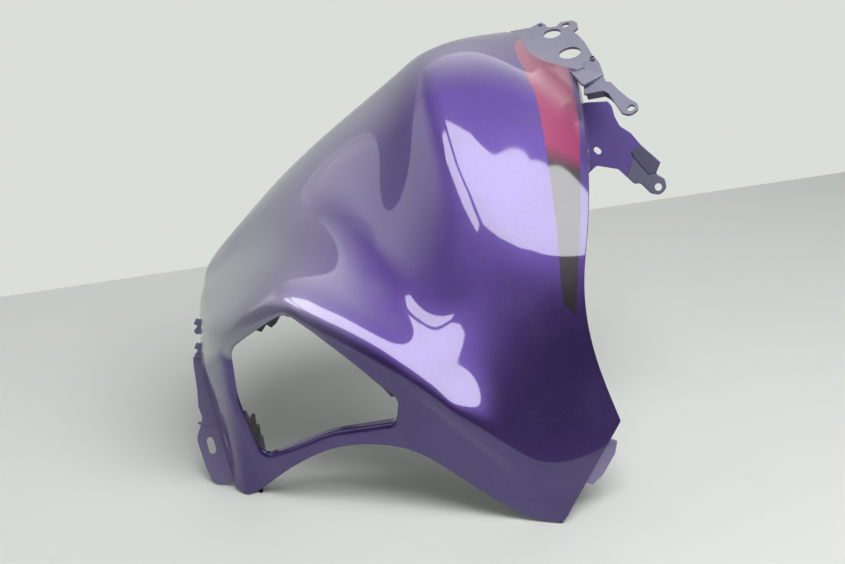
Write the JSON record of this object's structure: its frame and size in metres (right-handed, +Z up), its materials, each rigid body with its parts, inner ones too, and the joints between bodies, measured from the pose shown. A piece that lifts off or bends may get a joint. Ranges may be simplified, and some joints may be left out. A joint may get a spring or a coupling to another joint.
{
  "type": "motorcycle fairing",
  "caption": "Moulded side fairing panel with a rounded triangular opening, a slotted left flange, a drilled top flange and two mounting arms.",
  "frame": {"origin": "middle of the panel's outline on the ground, with the panel standing on its end as pictured", "axes": "+Z up, +X to the viewer's right along the panel's width, +Y away from the viewer, into the hollow side"},
  "size_m": [0.446, 0.3118, 0.3963],
  "materials": {
    "painted_plastic": "gloss"
  },
  "bodies": {
    "root": {"panel": "painted_plastic"}
  },
  "joints": []
}
